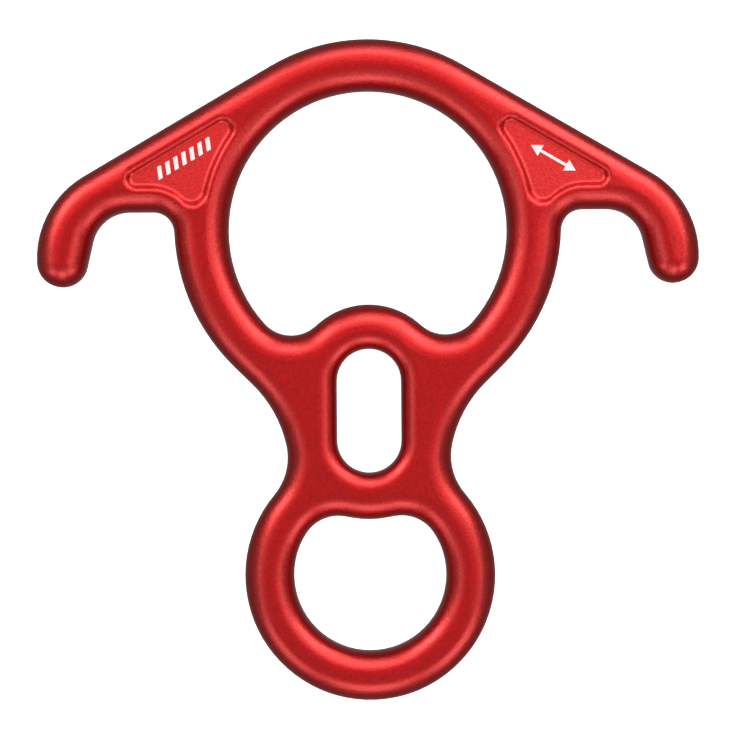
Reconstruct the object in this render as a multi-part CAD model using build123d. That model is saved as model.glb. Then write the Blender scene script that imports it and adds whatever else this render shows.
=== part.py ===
from build123d import *
import os
from collections import namedtuple
from math import atan2, copysign, cos, hypot, pi, radians, sin, sqrt

# Rescue figure-8 descender with two bent horns: one solid aluminium forging.
#
# It lies flat. X runs from horn to horn, Y from the small ring up to the large ring's crown, and Z through the
# thickness. The origin is in the plane of the lower face, under the middle of the outline. Units are millimetres.
#
# Every outline is a belt round an ordered list of circles. Going anticlockwise, a positive radius turns left and
# a negative one turns right. Neighbours that touch join directly, and others are joined by their tangent line.

# Plate
THICKNESS = 14.0
RING_SPACING = 78.0  # large ring's centre to small ring's centre
CROWN_R = 43.2  # outside of the large ring, between the two shoulders
SMALL_RING_R = 28.3
LARGE_RING_Y = (RING_SPACING + SMALL_RING_R - CROWN_R) / 2  # puts the origin at mid-height
SMALL_RING_Y = LARGE_RING_Y - RING_SPACING

# Large ring
LARGE_BORE_R = 31.5
RING_SIDE = (-1.3, LARGE_RING_Y + 1.3, 45.1)  # outside of the ring below the horns: x, y, radius
LARGE_LOBE_R = 8.1  # the rope opening's two low corners
LARGE_LOBE_ANGLE = -41.8  # from the ring's centre, degrees
SADDLE_R = 17.3  # the bulge between the lobes, which the rope runs over
SADDLE_Y = LARGE_RING_Y - 34.1

# Horns
HORN_BEND = (53.3, LARGE_RING_Y - 6.0, 21.6)  # outside of the horn's bend: x, y, radius
HORN_TIP_R = 5.7
HORN_TIP_ANGLE = -2.6  # where the bend runs into the tip, degrees
HORN_UNDERSIDE_Y = 36.0
HORN_THROAT_X = 54.0
HORN_THROAT_R = 8.5  # hollow of the horn, on its tip side
HORN_ROOT_R = 4.9  # hollow of the horn, on its ring side

# Waist
WAIST_HALF_WIDTH = 18.5
WAIST_R = 13.1
FLANK_R = 27.5  # the wider hollow that carries the waist on towards the large ring
FLANK_ANGLE = -12.3  # where the flank runs into the waist, degrees

# Small ring
SMALL_BORE_R = 17.25
SMALL_LOBE_R = 8.6
SMALL_LOBE_ANGLE = 33.8
CREST_R = 21.2  # the shallow bulge at the top of the small opening
CREST_Y = SMALL_RING_Y + 33.8

# Slot
SLOT_HALF_WIDTH = 7.3
SLOT_TOP_Y = 4.7
SLOT_LENGTH = 28.1

# Rounding of the edges
OUTER_ROUND = 5.5
LARGE_BORE_ROUND = 5.8
SLOT_ROUND = 4.1
SMALL_BORE_ROUND = 5.2

# Recessed panel in each horn's web, on both faces
PANEL_DEPTH = 1.5
PANEL_WALL_RUN = 1.25  # how far the wall leans in over the panel's depth, on average
PANEL_FLOOR_SHIFT = 0.35  # the floor sits this much nearer the shoulder, so the wall is steeper on that side
PANEL_SHOULDER_RIM = 4.6  # from the shoulder's edge to the panel
PANEL_BORE_RIM = 5.2  # from the large bore's edge to the panel
PANEL_UNDER_RIM = 4.5  # from the horn's underside to the panel
PANEL_TOP_R = 2.8
PANEL_TIP_R = 2.6
PANEL_LOW_R = 3.8
PANEL_LIP_ROUND = 1.3
PANEL_FLOOR_ROUND = 0.9

NEAR = 0.001  # two things this close are in the same place

Round = namedtuple("Round", "x y r")


def polar(centre, distance, degrees):
    """The point at that distance and direction from a round's centre."""
    return centre.x + distance * cos(radians(degrees)), centre.y + distance * sin(radians(degrees))


def circles_meet(a, a_reach, b, b_reach):
    """Where circles of those radii round a and b cross, on the left of the way from a to b."""
    dx, dy = b.x - a.x, b.y - a.y
    apart = hypot(dx, dy)
    along = (a_reach**2 - b_reach**2 + apart**2) / (2 * apart)
    across = sqrt(a_reach**2 - along**2)
    return a.x + (along * dx - across * dy) / apart, a.y + (along * dy + across * dx) / apart


def tangent_normal(a, b):
    """Left-hand normal of the line that leaves round a and arrives at round b."""
    dx, dy = b.x - a.x, b.y - a.y
    rise = b.r - a.r
    run_squared = dx**2 + dy**2 - rise**2
    run = sqrt(run_squared) if run_squared > NEAR**2 else 0.0
    heading = atan2(dy, dx) - atan2(rise, run)
    return -sin(heading), cos(heading)


def belt(rounds):
    """Face whose edge runs round the circles in turn."""
    following = rounds[1:] + rounds[:1]
    normals = [tangent_normal(a, b) for a, b in zip(rounds, following)]
    edges = []
    for i, (x, y, r) in enumerate(rounds):
        arrive, leave = normals[i - 1], normals[i]
        first = atan2(arrive[1], arrive[0])
        turn = (atan2(leave[1], leave[0]) - first) % copysign(2 * pi, r)
        start, end = [(x - r * n[0], y - r * n[1]) for n in (arrive, leave)]
        middle = (x - r * cos(first + turn / 2), y - r * sin(first + turn / 2))
        edges.append(ThreePointArc(start, middle, end))
        ahead = following[i]
        next_start = (ahead.x - ahead.r * leave[0], ahead.y - ahead.r * leave[1])
        if hypot(next_start[0] - end[0], next_start[1] - end[1]) > NEAR:
            edges.append(Line(end, next_start))
    return make_face(Wire(edges))


def both_sides(bottom, right, top):
    """Anticlockwise rounds of a shape whose left side mirrors its right."""
    left = [Round(-x, y, r) for x, y, r in reversed(right)]
    return [bottom, *right, top, *left]


def horn_root():
    """The corner where the horn's underside meets the large ring."""
    side = Round(*RING_SIDE)
    y = HORN_UNDERSIDE_Y - HORN_ROOT_R
    x = side.x + sqrt((side.r + HORN_ROOT_R) ** 2 - (y - side.y) ** 2)
    return Round(x, y, -HORN_ROOT_R)


def outer_outline():
    """Outline of the whole forging."""
    small_ring = Round(0, SMALL_RING_Y, SMALL_RING_R)
    waist_x = WAIST_HALF_WIDTH + WAIST_R
    waist_y = SMALL_RING_Y + sqrt((SMALL_RING_R + WAIST_R) ** 2 - waist_x**2)
    waist = Round(waist_x, waist_y, -WAIST_R)
    flank = Round(*polar(waist, FLANK_R - WAIST_R, FLANK_ANGLE), -FLANK_R)
    ring_side = Round(*RING_SIDE)
    throat = Round(HORN_THROAT_X, HORN_UNDERSIDE_Y - HORN_THROAT_R, -HORN_THROAT_R)
    bend = Round(*HORN_BEND)
    tip = Round(*polar(bend, bend.r - HORN_TIP_R, HORN_TIP_ANGLE), HORN_TIP_R)
    crown = Round(0, LARGE_RING_Y, CROWN_R)
    return belt(both_sides(small_ring, [waist, flank, ring_side, horn_root(), throat, tip, bend], crown))


def large_opening():
    """Rope opening of the large ring, with a lobe each side of its saddle."""
    bore = Round(0, LARGE_RING_Y, LARGE_BORE_R)
    lobe = Round(*polar(bore, LARGE_BORE_R - LARGE_LOBE_R, LARGE_LOBE_ANGLE), LARGE_LOBE_R)
    return belt(both_sides(Round(0, SADDLE_Y, -SADDLE_R), [lobe], bore))


def small_opening():
    """Carabiner opening of the small ring, with a lobe each side of its crest."""
    bore = Round(0, SMALL_RING_Y, SMALL_BORE_R)
    lobe = Round(*polar(bore, SMALL_BORE_R - SMALL_LOBE_R, SMALL_LOBE_ANGLE), SMALL_LOBE_R)
    return belt(both_sides(bore, [lobe], Round(0, CREST_Y, -CREST_R)))


def slot():
    """Belay slot in the waist."""
    top = SLOT_TOP_Y - SLOT_HALF_WIDTH
    bottom = SLOT_TOP_Y - SLOT_LENGTH + SLOT_HALF_WIDTH
    return belt([Round(0, bottom, SLOT_HALF_WIDTH), Round(0, top, SLOT_HALF_WIDTH)])


def into_web():
    """Unit vector in the plane of the plate, square to the right-hand shoulder and pointing into the web."""
    return tangent_normal(Round(*HORN_BEND), Round(0, LARGE_RING_Y, CROWN_R))


def web_panel(inset):
    """Panel of the right-hand horn's web, with its edge moved in by the inset."""
    ring = Round(0, LARGE_RING_Y, CROWN_R)
    root = horn_root()
    across = into_web()
    along = (across[1], -across[0])

    def under_shoulder(corner_r, back):
        """Centre of a corner that touches the panel's shoulder side, that far out from the ring's centre."""
        reach = ring.r - PANEL_SHOULDER_RIM - corner_r
        return ring.x - reach * across[0] - back * along[0], ring.y - reach * across[1] - back * along[1]

    bore_reach = LARGE_BORE_R + PANEL_BORE_RIM
    root_reach = HORN_ROOT_R + PANEL_UNDER_RIM
    top_reach = ring.r - PANEL_SHOULDER_RIM - PANEL_TOP_R
    top = under_shoulder(PANEL_TOP_R, sqrt((bore_reach + PANEL_TOP_R) ** 2 - top_reach**2))
    tip_y = HORN_UNDERSIDE_Y + PANEL_UNDER_RIM + PANEL_TIP_R
    tip = under_shoulder(PANEL_TIP_R, (under_shoulder(PANEL_TIP_R, 0)[1] - tip_y) / along[1])
    low = circles_meet(ring, bore_reach + PANEL_LOW_R, root, root_reach + PANEL_LOW_R)
    rounds = [
        Round(root.x, root.y, -root_reach),
        Round(*tip, PANEL_TIP_R),
        Round(*top, PANEL_TOP_R),
        Round(ring.x, ring.y, -bore_reach),
        Round(*low, PANEL_LOW_R),
    ]
    return belt([Round(x, y, r - inset) for x, y, r in rounds])


def edges_by_face(body, outline, slack=NEAR, drop=NEAR):
    """Edges of the upper and lower faces that run along an outline, which may be the right half's alone."""
    wire = outline.wire()
    found = []
    for edge in body.edges():
        middle = edge @ 0.5
        height = abs(middle.Z - THICKNESS / 2)
        places = [Vertex(x, middle.Y, 0) for x in (middle.X, -middle.X)]
        if height > THICKNESS / 2 - drop and min(place.distance_to(wire) for place in places) < slack:
            found.append(edge)
    return found


def forging():
    """Plate with its openings, every edge well rounded for the rope."""
    outline = outer_outline()
    body = extrude(outline, THICKNESS)
    body = fillet(edges_by_face(body, outline), OUTER_ROUND)
    openings = [(large_opening(), LARGE_BORE_ROUND), (small_opening(), SMALL_BORE_ROUND), (slot(), SLOT_ROUND)]
    for opening, rounding in openings:
        body -= extrude(opening, THICKNESS)
        body = fillet(edges_by_face(body, opening), rounding)
    return body


def panel_cutter():
    """Solid that sinks the right-hand panel into the upper face, its wall leaning in as it goes down."""
    clear = 0.5
    across = into_web()

    def level(depth):
        """The panel's outline at a depth below the upper face, or above it where the depth is negative."""
        share = depth / PANEL_DEPTH
        shift = -PANEL_FLOOR_SHIFT * share
        return Pos(shift * across[0], shift * across[1], THICKNESS - depth) * web_panel(PANEL_WALL_RUN * share)

    cutter = loft([level(-clear).face(), level(PANEL_DEPTH).face()], ruled=True)
    return fillet(cutter.edges().group_by(Axis.Z)[0], PANEL_FLOOR_ROUND)


def sink_panels(body):
    """Cut the panels of both horns into both faces, and round their lips."""
    cutter = panel_cutter()
    cutter += mirror(cutter, Plane.XY.offset(THICKNESS / 2))
    body -= cutter
    body -= mirror(cutter, Plane.YZ)
    # The rounded shoulder falls away a little under the panel's mouth, so the lip lies just inside and below it.
    lips = edges_by_face(body, web_panel(0), slack=0.15, drop=0.3)
    return fillet(lips, PANEL_LIP_ROUND)


os.makedirs("parts", exist_ok=True)
export_step(sink_panels(forging()), "parts/descender_body.step")
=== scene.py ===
import math

import bmesh
import bpy
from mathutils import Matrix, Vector


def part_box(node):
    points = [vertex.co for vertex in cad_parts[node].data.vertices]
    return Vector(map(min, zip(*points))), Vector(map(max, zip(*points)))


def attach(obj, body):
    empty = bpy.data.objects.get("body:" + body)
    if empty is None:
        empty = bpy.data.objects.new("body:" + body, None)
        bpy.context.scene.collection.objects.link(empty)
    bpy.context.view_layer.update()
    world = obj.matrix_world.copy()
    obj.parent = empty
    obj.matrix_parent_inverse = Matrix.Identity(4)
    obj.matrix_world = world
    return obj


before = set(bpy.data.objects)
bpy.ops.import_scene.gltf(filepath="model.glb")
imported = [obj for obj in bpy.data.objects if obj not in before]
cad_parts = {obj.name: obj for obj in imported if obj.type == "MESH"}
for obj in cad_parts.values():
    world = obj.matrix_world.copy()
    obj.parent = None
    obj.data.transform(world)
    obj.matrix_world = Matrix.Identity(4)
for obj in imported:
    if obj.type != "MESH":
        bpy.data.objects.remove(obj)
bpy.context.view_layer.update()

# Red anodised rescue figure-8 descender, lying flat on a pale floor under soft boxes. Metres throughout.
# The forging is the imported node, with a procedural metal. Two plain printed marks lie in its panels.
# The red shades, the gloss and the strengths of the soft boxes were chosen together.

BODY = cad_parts["descender_body"]
low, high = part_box("descender_body")
MIDDLE = (low + high) / 2
MM = 0.001
FLAT = 0.999  # a face whose normal has at least this much Z lies flat
SAME_LEVEL = 0.01 * MM


def panel_floor():
    """Height of the upper panels' floors: the highest flat faces clear of the upper face."""
    clear = high.z - 0.5 * MM
    levels = [face.center.z for face in BODY.data.polygons if face.normal.z > FLAT]
    return max(level for level in levels if MIDDLE.z < level < clear)


PANEL_FLOOR = panel_floor()


def in_panel(side, across, along):
    """Point in the right (1) or left (-1) upper panel, in fractions of its floor's box, out and up."""
    mesh = BODY.data
    flat = [face for face in mesh.polygons if face.normal.z > FLAT and face.center.x * side > 0]
    floor = [face for face in flat if abs(face.center.z - PANEL_FLOOR) < SAME_LEVEL]
    corners = [mesh.vertices[index].co for face in floor for index in face.vertices]
    xs = [abs(corner.x) for corner in corners]
    ys = [corner.y for corner in corners]
    x = min(xs) + across * (max(xs) - min(xs))
    y = min(ys) + along * (max(ys) - min(ys))
    return Vector((side * x, y))


class Graph:
    """A new material's nodes, added one at a time."""

    def __init__(self, name):
        self.material = bpy.data.materials.new(name)
        self.material.use_nodes = True
        self.tree = self.material.node_tree
        self.shader = self.tree.nodes["Principled BSDF"]
        self.place = self.tree.nodes.new("ShaderNodeTexCoord").outputs["Object"]

    def add(self, kind, inputs, **settings):
        node = self.tree.nodes.new(kind)
        for setting, value in settings.items():
            setattr(node, setting, value)
        for key, value in inputs.items():
            self.feed(node.inputs[key], value)
        return node

    def feed(self, socket, value):
        if isinstance(value, bpy.types.NodeSocket):
            self.tree.links.new(value, socket)
        else:
            socket.default_value = value

    def sum(self, operation, first, second=0.0, third=0.0):
        return self.add("ShaderNodeMath", {0: first, 1: second, 2: third}, operation=operation).outputs[0]

    def ramp(self, value, start, end, first=0.0, last=1.0):
        """Runs smoothly from first to last as the value goes from start to end."""
        inputs = {"Value": value, "From Min": start, "From Max": end, "To Min": first, "To Max": last}
        return self.add("ShaderNodeMapRange", inputs, interpolation_type="SMOOTHSTEP").outputs["Result"]

    def mix(self, amount, first, second):
        node = self.add("ShaderNodeMix", {"Factor": amount, 6: first, 7: second}, data_type="RGBA")
        return node.outputs[2]

    def scale(self, colour, value):
        """The colour made brighter or darker by this factor."""
        return self.add("ShaderNodeVectorMath", {0: colour, "Scale": value}, operation="SCALE").outputs[0]

    def noise(self, size, detail=2.0, roughness=0.5):
        """Noise whose blotches are about this many metres across."""
        inputs = {"Vector": self.place, "Scale": 1 / size, "Detail": detail, "Roughness": roughness}
        return self.add("ShaderNodeTexNoise", inputs).outputs["Fac"]

    def cells(self, size):
        """Distance from the nearest of a scatter of points, in cells, and a random number for each point."""
        node = self.add("ShaderNodeTexVoronoi", {"Vector": self.place, "Scale": 1 / size})
        chance = self.add("ShaderNodeSeparateColor", {"Color": node.outputs["Color"]})
        return node.outputs["Distance"], chance.outputs["Red"]

    def spots(self, size, radius, share):
        """1 inside round spots of this radius in cells, in this share of the cells, and 0 elsewhere."""
        distance, chance = self.cells(size)
        inside = self.ramp(distance, radius * 0.4, radius, 1.0, 0.0)
        return self.sum("MULTIPLY", inside, self.sum("LESS_THAN", chance, share))


def anodised():
    """Bead-blasted, red anodised forging: fine grain, small pits and dimpled panel floors darkened with
    painted shade, and tilted edges made paler with a painted highlight.
    """
    g = Graph("red_anodised")
    place = g.add("ShaderNodeSeparateXYZ", {"Vector": g.place})
    normal = g.add("ShaderNodeNewGeometry", {}).outputs["Normal"]
    facing = g.add("ShaderNodeSeparateXYZ", {"Vector": normal})
    height = g.sum("ABSOLUTE", g.sum("SUBTRACT", place.outputs["Z"], MIDDLE.z))
    level = g.sum("ABSOLUTE", facing.outputs["Z"])
    rise = PANEL_FLOOR - MIDDLE.z
    low_down = g.ramp(height, rise + 0.2 * MM, rise + 0.5 * MM, 1.0, 0.0)
    panel = g.sum("MULTIPLY", g.ramp(level, 0.90, 0.97), low_down)

    grain = g.noise(0.55 * MM, 2.0, 0.6)
    mottle = g.noise(3.5 * MM, 3.0, 0.6)
    cloud = g.noise(28 * MM, 2.0, 0.5)
    pits = g.spots(4.5 * MM, 0.055, 0.30)
    nicks = g.spots(11 * MM, 0.035, 0.25)
    dimples = g.spots(0.95 * MM, 0.34, 0.40)
    seam = g.ramp(height, 0.0, 0.35 * MM, 1.0, 0.0)
    # Painted highlight: the rounded edges, part way down their slope, get a paler, pinker red standing in
    # for the white sheen of their highlights.
    painted_edge_highlight = g.sum("MULTIPLY", g.ramp(level, 0.90, 0.99, 1.0, 0.0), g.ramp(level, 0.50, 0.80))
    painted_edge_highlight = g.sum("MULTIPLY", painted_edge_highlight, g.ramp(mottle, 0.15, 0.70, 0.75, 1.0))

    shade = g.mix(cloud, (0.60, 0.0045, 0.0055, 1), (0.66, 0.0060, 0.0070, 1))
    shade = g.mix(g.ramp(mottle, 0.35, 0.70), shade, (0.59, 0.0045, 0.0055, 1))
    # The painted highlight colour goes onto the tilted edges here.
    shade = g.mix(painted_edge_highlight, shade, (0.76, 0.046, 0.043, 1))
    shade = g.mix(panel, shade, (0.78, 0.026, 0.026, 1))
    shade = g.scale(shade, g.ramp(grain, 0.28, 0.72, 0.87, 1.12))
    # Painted shade: the panel floors' colour is darkened inside their dimples.
    shade = g.scale(shade, g.sum("MULTIPLY_ADD", g.sum("MULTIPLY", dimples, panel), -0.20, 1.0))
    # Painted shade: the pits are darkened in colour as well as dented in the relief.
    shade = g.mix(g.sum("MULTIPLY", pits, 0.65), shade, (0.30, 0.004, 0.005, 1))
    shade = g.mix(g.sum("MULTIPLY", nicks, 0.55), shade, (0.85, 0.32, 0.30, 1))
    g.feed(g.shader.inputs["Base Color"], shade)
    g.shader.inputs["Metallic"].default_value = 1.0

    rough = g.sum("MULTIPLY_ADD", mottle, 0.08, 0.31)
    rough = g.sum("MULTIPLY_ADD", panel, 0.12, rough)
    rough = g.sum("MULTIPLY_ADD", grain, 0.05, rough)
    g.feed(g.shader.inputs["Roughness"], rough)
    g.shader.inputs["Coat Weight"].default_value = 0.5
    g.shader.inputs["Coat Roughness"].default_value = 0.15
    g.shader.inputs["Coat IOR"].default_value = 1.5

    relief = g.sum("MULTIPLY", grain, g.sum("MULTIPLY_ADD", panel, 0.03 * MM, 0.06 * MM))
    relief = g.sum("MULTIPLY_ADD", mottle, 0.03 * MM, relief)
    relief = g.sum("MULTIPLY_ADD", g.sum("MULTIPLY", dimples, panel), -0.016 * MM, relief)
    relief = g.sum("MULTIPLY_ADD", pits, -0.05 * MM, relief)
    relief = g.sum("MULTIPLY_ADD", seam, 0.06 * MM, relief)
    bump = g.add("ShaderNodeBump", {"Strength": 1.0, "Distance": 1.0, "Height": relief})
    g.feed(g.shader.inputs["Normal"], bump.outputs["Normal"])
    g.feed(g.shader.inputs["Coat Normal"], bump.outputs["Normal"])
    return g.material


def marking():
    """White print, with the metal's red showing faintly through in specks."""
    g = Graph("white_mark")
    grain = g.noise(0.30 * MM, 2.0, 0.6)
    patch = g.noise(1.6 * MM, 2.0, 0.5)
    shade = g.mix(g.ramp(grain, 0.40, 0.72), (0.90, 0.89, 0.88, 1), (0.80, 0.66, 0.65, 1))
    shade = g.mix(g.sum("MULTIPLY", patch, 0.25), shade, (0.93, 0.93, 0.93, 1))
    g.feed(g.shader.inputs["Base Color"], shade)
    g.feed(g.shader.inputs["Roughness"], g.sum("MULTIPLY_ADD", grain, 0.2, 0.42))
    relief = g.sum("MULTIPLY", grain, 0.01 * MM)
    bump = g.add("ShaderNodeBump", {"Strength": 1.0, "Distance": 1.0, "Height": relief})
    g.feed(g.shader.inputs["Normal"], bump.outputs["Normal"])
    return g.material


def rounded(corners, radius, steps=5):
    """Outline through these corners, anticlockwise, each one rounded to about this radius."""
    outline = []
    for index, corner in enumerate(corners):
        here = Vector(corner)
        before = (Vector(corners[index - 1]) - here).normalized()
        after = (Vector(corners[(index + 1) % len(corners)]) - here).normalized()
        reach = radius / math.tan(before.angle(after) / 2)
        start, end = here + before * reach, here + after * reach
        for step in range(steps + 1):
            t = step / steps
            outline.append((1 - t) ** 2 * start + 2 * t * (1 - t) * here + t ** 2 * end)
    return outline


def slanted_bars(count, pitch, width, tall, slant):
    """A row of plain slanted bars, centred on the origin."""
    bars = []
    for index in range(count):
        x = (index - (count - 1) / 2) * pitch
        foot, head = x - slant / 2, x + slant / 2
        corners = [(foot - width / 2, -tall / 2), (foot + width / 2, -tall / 2),
                   (head + width / 2, tall / 2), (head - width / 2, tall / 2)]
        bars.append(rounded(corners, 0.18 * width))
    return bars


def double_arrow(length, head, tall, stroke):
    """A plain arrow with a head at each end, centred on the origin."""
    tip, neck = length / 2, length / 2 - head
    right = [(neck, -stroke / 2), (neck, -tall / 2), (tip, 0), (neck, tall / 2), (neck, stroke / 2)]
    left = [(-x, -y) for x, y in right]
    return [rounded(right + left, 0.1 * stroke)]


def printed_mark(name, outlines, centre, turn):
    """Closed, very thin shapes on the panel's floor, sunk into it by a hair so that no light gets under."""
    sink, thick = 0.005 * MM, 0.03 * MM
    mesh = bpy.data.meshes.new(name)
    shapes = bmesh.new()
    cos, sin = math.cos(turn), math.sin(turn)
    for outline in outlines:
        ring = []
        for point in outline:
            x = centre.x + point.x * cos - point.y * sin
            y = centre.y + point.x * sin + point.y * cos
            ring.append(shapes.verts.new((x, y, PANEL_FLOOR - sink)))
        under = shapes.faces.new(ring)
        top = bmesh.ops.extrude_face_region(shapes, geom=[under])
        raised = [item for item in top["geom"] if isinstance(item, bmesh.types.BMVert)]
        bmesh.ops.translate(shapes, verts=raised, vec=(0, 0, sink + thick))
    bmesh.ops.recalc_face_normals(shapes, faces=shapes.faces)
    shapes.to_mesh(mesh)
    shapes.free()
    mark = bpy.data.objects.new(name, mesh)
    bpy.context.scene.collection.objects.link(mark)
    mesh.materials.append(WHITE)
    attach(mark, "root")
    return mark


def soft_box(name, azimuth, zenith, distance, size, brightness):
    """Square soft box aimed at the object. Azimuth runs from +Y towards +X, and zenith from straight up."""
    data = bpy.data.lights.new(name, "AREA")
    data.shape = "SQUARE"
    data.size = size
    data.energy = brightness * math.pi * size * size
    light = bpy.data.objects.new(name, data)
    bpy.context.scene.collection.objects.link(light)
    a, z = math.radians(azimuth), math.radians(zenith)
    away = Vector((math.sin(a) * math.sin(z), math.cos(a) * math.sin(z), math.cos(z)))
    light.location = MIDDLE + away * distance
    light.rotation_euler = away.to_track_quat("Z", "Y").to_euler()
    light.visible_camera = False
    return light


def studio():
    """White surroundings for the camera, dim ones for the metal, and a pale floor it doesn't reflect."""
    scene = bpy.context.scene
    scene.view_settings.view_transform = "Standard"
    world = bpy.data.worlds.new("studio")
    scene.world = world
    world.use_nodes = True
    tree = world.node_tree
    seen = tree.nodes.new("ShaderNodeLightPath").outputs["Is Camera Ray"]
    strength = tree.nodes.new("ShaderNodeMapRange")
    strength.inputs["To Min"].default_value = 0.19
    strength.inputs["To Max"].default_value = 1.0
    tree.links.new(seen, strength.inputs["Value"])
    tree.nodes["Background"].inputs["Color"].default_value = (1, 1, 1, 1)
    tree.links.new(strength.outputs["Result"], tree.nodes["Background"].inputs["Strength"])

    bpy.ops.mesh.primitive_plane_add(size=6, location=(0, 0, low.z - 0.05 * MM))
    floor = bpy.context.object
    floor.name = "floor"
    g = Graph("floor")
    g.shader.inputs["Base Color"].default_value = (0.9, 0.9, 0.9, 1)
    g.shader.inputs["Roughness"].default_value = 0.8
    g.shader.inputs["Specular IOR Level"].default_value = 0.0
    g.shader.inputs["Emission Color"].default_value = (1, 1, 1, 1)
    g.shader.inputs["Emission Strength"].default_value = 0.88
    floor.data.materials.append(g.material)
    floor.visible_glossy = False


def camera():
    data = bpy.data.cameras.new("camera")
    view = bpy.data.objects.new("camera", data)
    bpy.context.scene.collection.objects.link(view)
    distance = 0.8
    data.sensor_width = 36
    data.lens = data.sensor_width * distance / 0.170
    view.location = MIDDLE + Vector((0.00141, -0.00125, distance))
    view.rotation_euler = (0, 0, math.radians(-0.44))
    bpy.context.scene.camera = view


BODY.data.materials.clear()
BODY.data.materials.append(anodised())

WHITE = marking()
SHOULDER = math.radians(30.2)  # how steeply the marks run down, as the shoulders do
bars = slanted_bars(7, 2.1 * MM, 1.05 * MM, 2.7 * MM, 1.1 * MM)
printed_mark("mark_left", bars, in_panel(-1, 0.457, 0.546), SHOULDER)
arrow = double_arrow(11.6 * MM, 2.5 * MM, 2.8 * MM, 0.62 * MM)
printed_mark("mark_right", arrow, in_panel(1, 0.491, 0.515), -SHOULDER)

studio()
# Small soft boxes close above the object's back half make the highlights on its rounded edges.
NEAR, SMALL = 0.38, 0.16
soft_box("near_back_low", 30, 75, NEAR, 0.14, 1.84)
soft_box("near_back_right", 30, 58, NEAR, SMALL, 0.75)
soft_box("near_right", 60, 58, NEAR, SMALL, 1.32)
soft_box("near_left", 300, 58, NEAR, SMALL, 1.31)
soft_box("near_right_high", 45, 42, NEAR, SMALL, 0.85)
soft_box("near_left_high", 315, 42, NEAR, SMALL, 0.76)
soft_box("near_over", 60, 25, NEAR, SMALL, 0.68)

# Large ones further off light it from all round, most strongly from the back left.
FAR, WIDE, MEDIUM = 1.0, 0.6, 0.5
soft_box("over", 0, 0, FAR, 1.0, 0.33)
soft_box("high_back", 0, 40, FAR, WIDE, 1.33)
soft_box("high_right", 90, 40, FAR, WIDE, 0.75)
soft_box("high_front", 180, 40, FAR, WIDE, 0.37)
soft_box("high_left", 270, 40, FAR, WIDE, 0.64)
soft_box("back", 0, 62, FAR, MEDIUM, 1.37)
soft_box("back_right", 45, 62, FAR, MEDIUM, 1.43)
soft_box("front_right", 135, 62, FAR, MEDIUM, 1.67)
soft_box("front", 180, 62, FAR, MEDIUM, 1.51)
soft_box("front_left", 225, 62, FAR, MEDIUM, 1.24)
soft_box("back_left", 315, 62, FAR, MEDIUM, 2.36)
camera()
